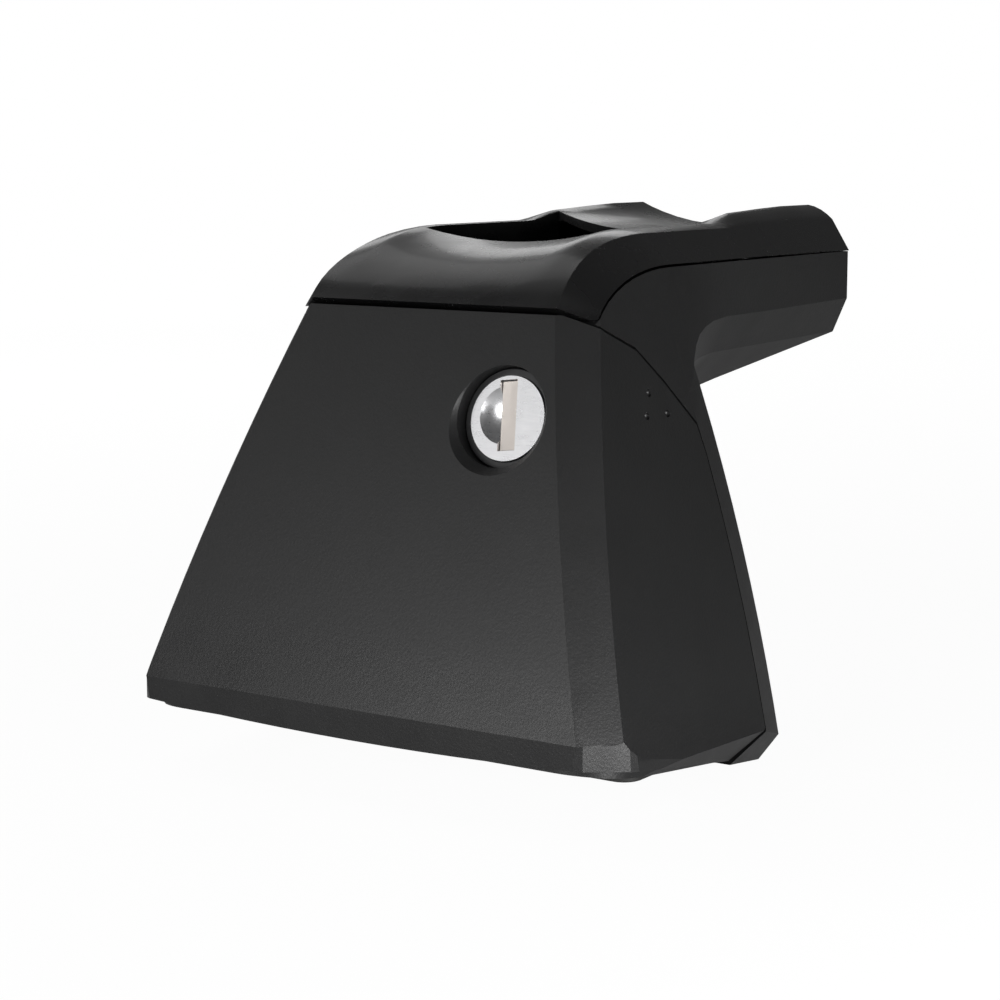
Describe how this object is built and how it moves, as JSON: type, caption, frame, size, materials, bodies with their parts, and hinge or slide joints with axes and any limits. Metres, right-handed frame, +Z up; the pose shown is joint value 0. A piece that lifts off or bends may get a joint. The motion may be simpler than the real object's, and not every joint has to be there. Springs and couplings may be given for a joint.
{
  "type": "roof bar foot",
  "caption": "Roof bar foot: a leaning tower with a lockable pull-off cover, a saddle arm with a T-bolt for the bar, and a screw clamp for the roof clip.",
  "frame": {"origin": "centre of the under face of the roof pad, on the roof", "axes": "+X across the foot, to the right when facing the cover; +Y back along the arm, under the bar; +Z up from the roof"},
  "size_m": [0.1124, 0.1376, 0.1045],
  "materials": {
    "body": "fine-grained black moulding",
    "cover": "fine-grained dark grey moulding",
    "cap": "smooth glossy black",
    "pad": "soft matte",
    "steel": "zinc plated",
    "dark_steel": "black oxide",
    "lock_metal": "satin chrome",
    "shutter": "pale satin",
    "housing": "satin black",
    "liner": "natural nylon"
  },
  "bodies": {
    "foot": {"tower_body": "body", "saddle_cap": "cap", "roof_pad": "pad", "chassis": "steel", "chassis_screws": "steel", "clamp_nut": "steel", "latch_plate": "steel", "latch_screw": "dark_steel", "bar_washer": "steel", "load_plate": "steel", "cap_screws": "dark_steel"},
    "cover": {"front_cover": "cover", "lock_housing": "housing", "housing_clip": "dark_steel"},
    "lock": {"lock_core": "lock_metal", "lock_cam": "steel", "cam_screw": "dark_steel"},
    "shutter": {"key_shutter": "shutter"},
    "carriage": {"clip_carriage": "steel", "guide_pin": "steel", "pin_rings": "dark_steel", "carriage_liners": "liner", "clamp_washer": "steel"},
    "clamp_screw": {"clamp_bolt": "steel", "clamp_ring": "dark_steel"},
    "tee_bolt": {"bar_bolt": "steel"},
    "tee_nut": {"bar_nut": "steel"}
  },
  "joints": [
    {"name": "cover_pull", "type": "slide", "parent": "foot", "child": "cover", "axis": [0, -1, 0], "range_m": [0, 0.09]},
    {"name": "lock_turn", "type": "hinge", "parent": "cover", "child": "lock", "pos_m": [0.0208, -0.02797, 0.06917], "axis": [0, -0.9613, 0.2756], "range_deg": [0, 90]},
    {"name": "shutter_flap", "type": "hinge", "parent": "lock", "child": "shutter", "pos_m": [0.02212, -0.0267, 0.06961], "axis": [0.1219, -0.2736, -0.9541], "range_deg": [0, 80], "stiffness_Nm_per_rad": 0.0002, "springref_deg": -17.19},
    {"name": "carriage_slide", "type": "slide", "parent": "foot", "child": "carriage", "axis": [0, 0.9882, -0.153], "range_m": [0, 0.007]},
    {"name": "clamp_turn", "type": "hinge", "parent": "carriage", "child": "clamp_screw", "pos_m": [0, -0.02757, 0.02831], "axis": [0, 0.9882, -0.153], "range_deg": [0, 2070]},
    {"name": "bar_lift", "type": "slide", "parent": "foot", "child": "tee_bolt", "axis": [0, 0, 1], "range_m": [0, 0.01]},
    {"name": "bar_turn", "type": "hinge", "parent": "foot", "child": "tee_nut", "pos_m": [0, 0.03, 0.064], "axis": [0, 0, -1], "range_deg": [0, 2960]}
  ],
  "couplings": [
    {"joint": "clamp_turn", "follows": "carriage_slide", "rad_per_m": 5026.5},
    {"joint": "bar_turn", "follows": "bar_lift", "rad_per_m": 5026.5}
  ]
}
